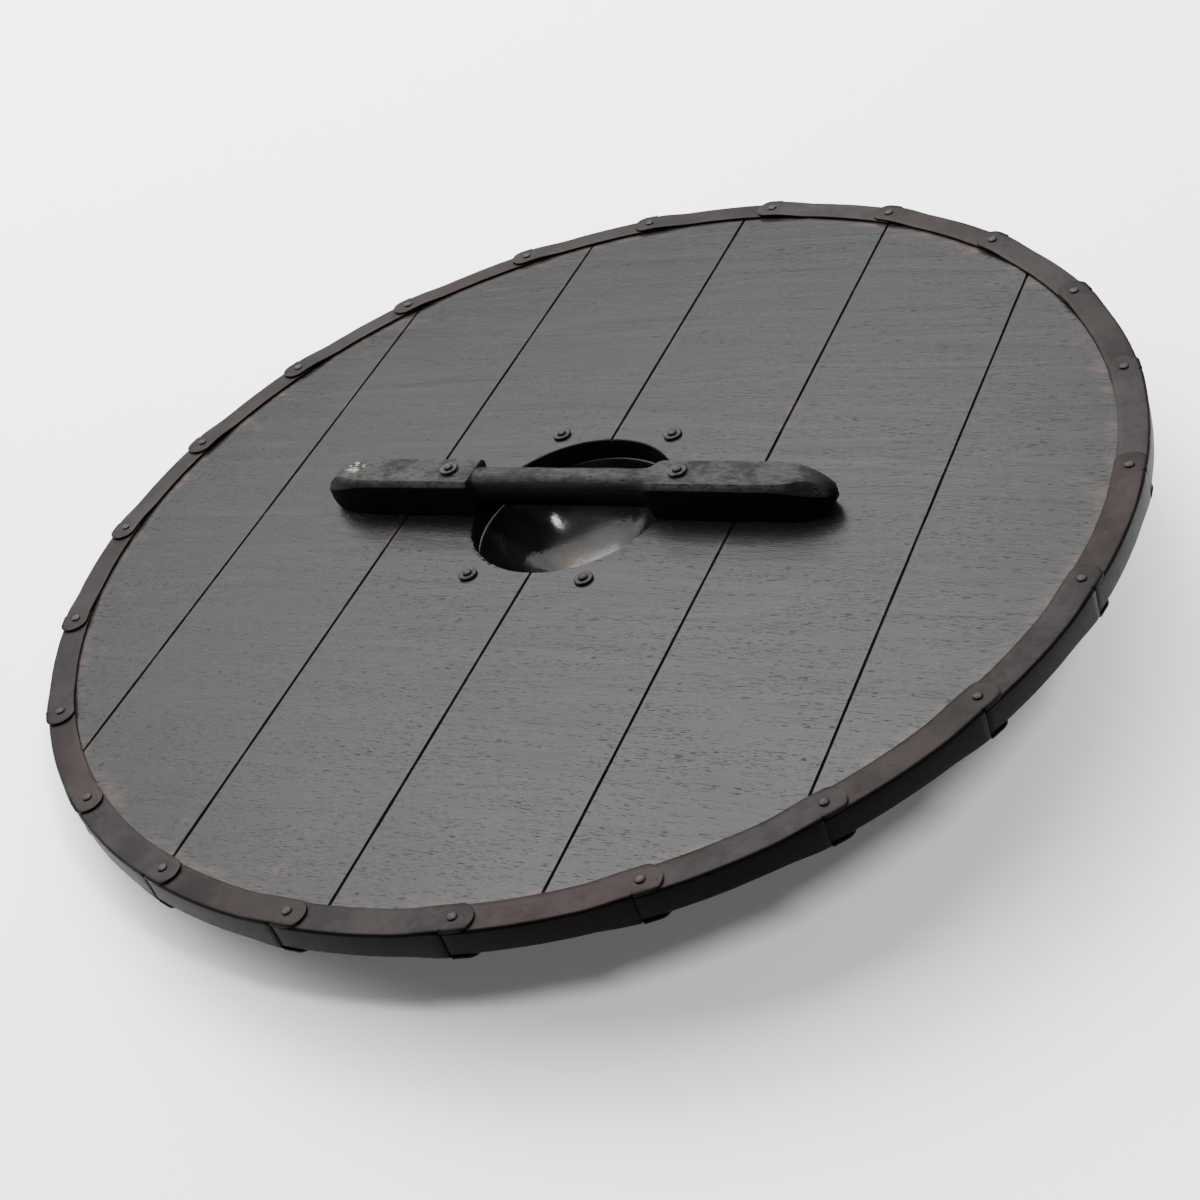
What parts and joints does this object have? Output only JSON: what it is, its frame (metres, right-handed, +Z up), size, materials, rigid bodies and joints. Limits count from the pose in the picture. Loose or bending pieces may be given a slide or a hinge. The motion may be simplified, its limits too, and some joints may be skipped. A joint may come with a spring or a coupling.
{
  "type": "wooden round shield",
  "caption": "Round shield of black-stained plywood with a riveted steel rim, a domed steel boss and a carved wooden grip across its hand hole.",
  "frame": {"origin": "on the ground, under the middle of the shield's outline", "axes": "+Z straight up, the back with the grip facing up; the shield leans 7.7 degrees about Y, its edge at -X low and on the ground; X runs along the grip, which lies 1.8 degrees off it; Y runs level, along the scored lines"},
  "size_m": [0.6064, 0.6116, 0.099],
  "materials": {
    "stained_board": "black stain over plywood, satin, worn brown in places",
    "grip_wood": "black stain, dusty and rubbed paler on its edges",
    "rim_steel": "blackened sheet, dull and dusty",
    "boss_steel": "blackened, semi-gloss inside with a little rust",
    "rivet_steel": "dull hammered steel"
  },
  "bodies": {
    "root": {"board": "stained_board", "boss": "boss_steel", "grip": "grip_wood", "rim_strip_01": "rim_steel", "rim_strip_02": "rim_steel", "rim_strip_03": "rim_steel", "rim_strip_04": "rim_steel", "rim_strip_05": "rim_steel", "rim_strip_06": "rim_steel", "rim_strip_07": "rim_steel", "rim_strip_08": "rim_steel", "rim_strip_09": "rim_steel", "rim_strip_10": "rim_steel", "rim_strip_11": "rim_steel", "rim_strip_12": "rim_steel", "rim_strip_13": "rim_steel", "rim_strip_14": "rim_steel", "rim_strip_15": "rim_steel", "rim_strip_16": "rim_steel", "rim_strip_17": "rim_steel", "rim_strip_18": "rim_steel", "rim_strip_19": "rim_steel", "rim_strip_20": "rim_steel", "rim_strip_21": "rim_steel", "rim_strip_22": "rim_steel", "rim_rivet_01": "rivet_steel", "rim_rivet_02": "rivet_steel", "rim_rivet_03": "rivet_steel", "rim_rivet_04": "rivet_steel", "rim_rivet_05": "rivet_steel", "rim_rivet_06": "rivet_steel", "rim_rivet_07": "rivet_steel", "rim_rivet_08": "rivet_steel", "rim_rivet_09": "rivet_steel", "rim_rivet_10": "rivet_steel", "rim_rivet_11": "rivet_steel", "rim_rivet_12": "rivet_steel", "rim_rivet_13": "rivet_steel", "rim_rivet_14": "rivet_steel", "rim_rivet_15": "rivet_steel", "rim_rivet_16": "rivet_steel", "rim_rivet_17": "rivet_steel", "rim_rivet_18": "rivet_steel", "rim_rivet_19": "rivet_steel", "rim_rivet_20": "rivet_steel", "rim_rivet_21": "rivet_steel", "rim_rivet_22": "rivet_steel", "boss_rivet_1": "rivet_steel", "boss_rivet_2": "rivet_steel", "boss_rivet_3": "rivet_steel", "boss_rivet_4": "rivet_steel", "boss_washer_1": "rivet_steel", "boss_washer_2": "rivet_steel", "boss_washer_3": "rivet_steel", "boss_washer_4": "rivet_steel", "grip_rivet_1": "rivet_steel", "grip_rivet_2": "rivet_steel", "grip_washer_1": "rivet_steel", "grip_washer_2": "rivet_steel"}
  },
  "joints": []
}
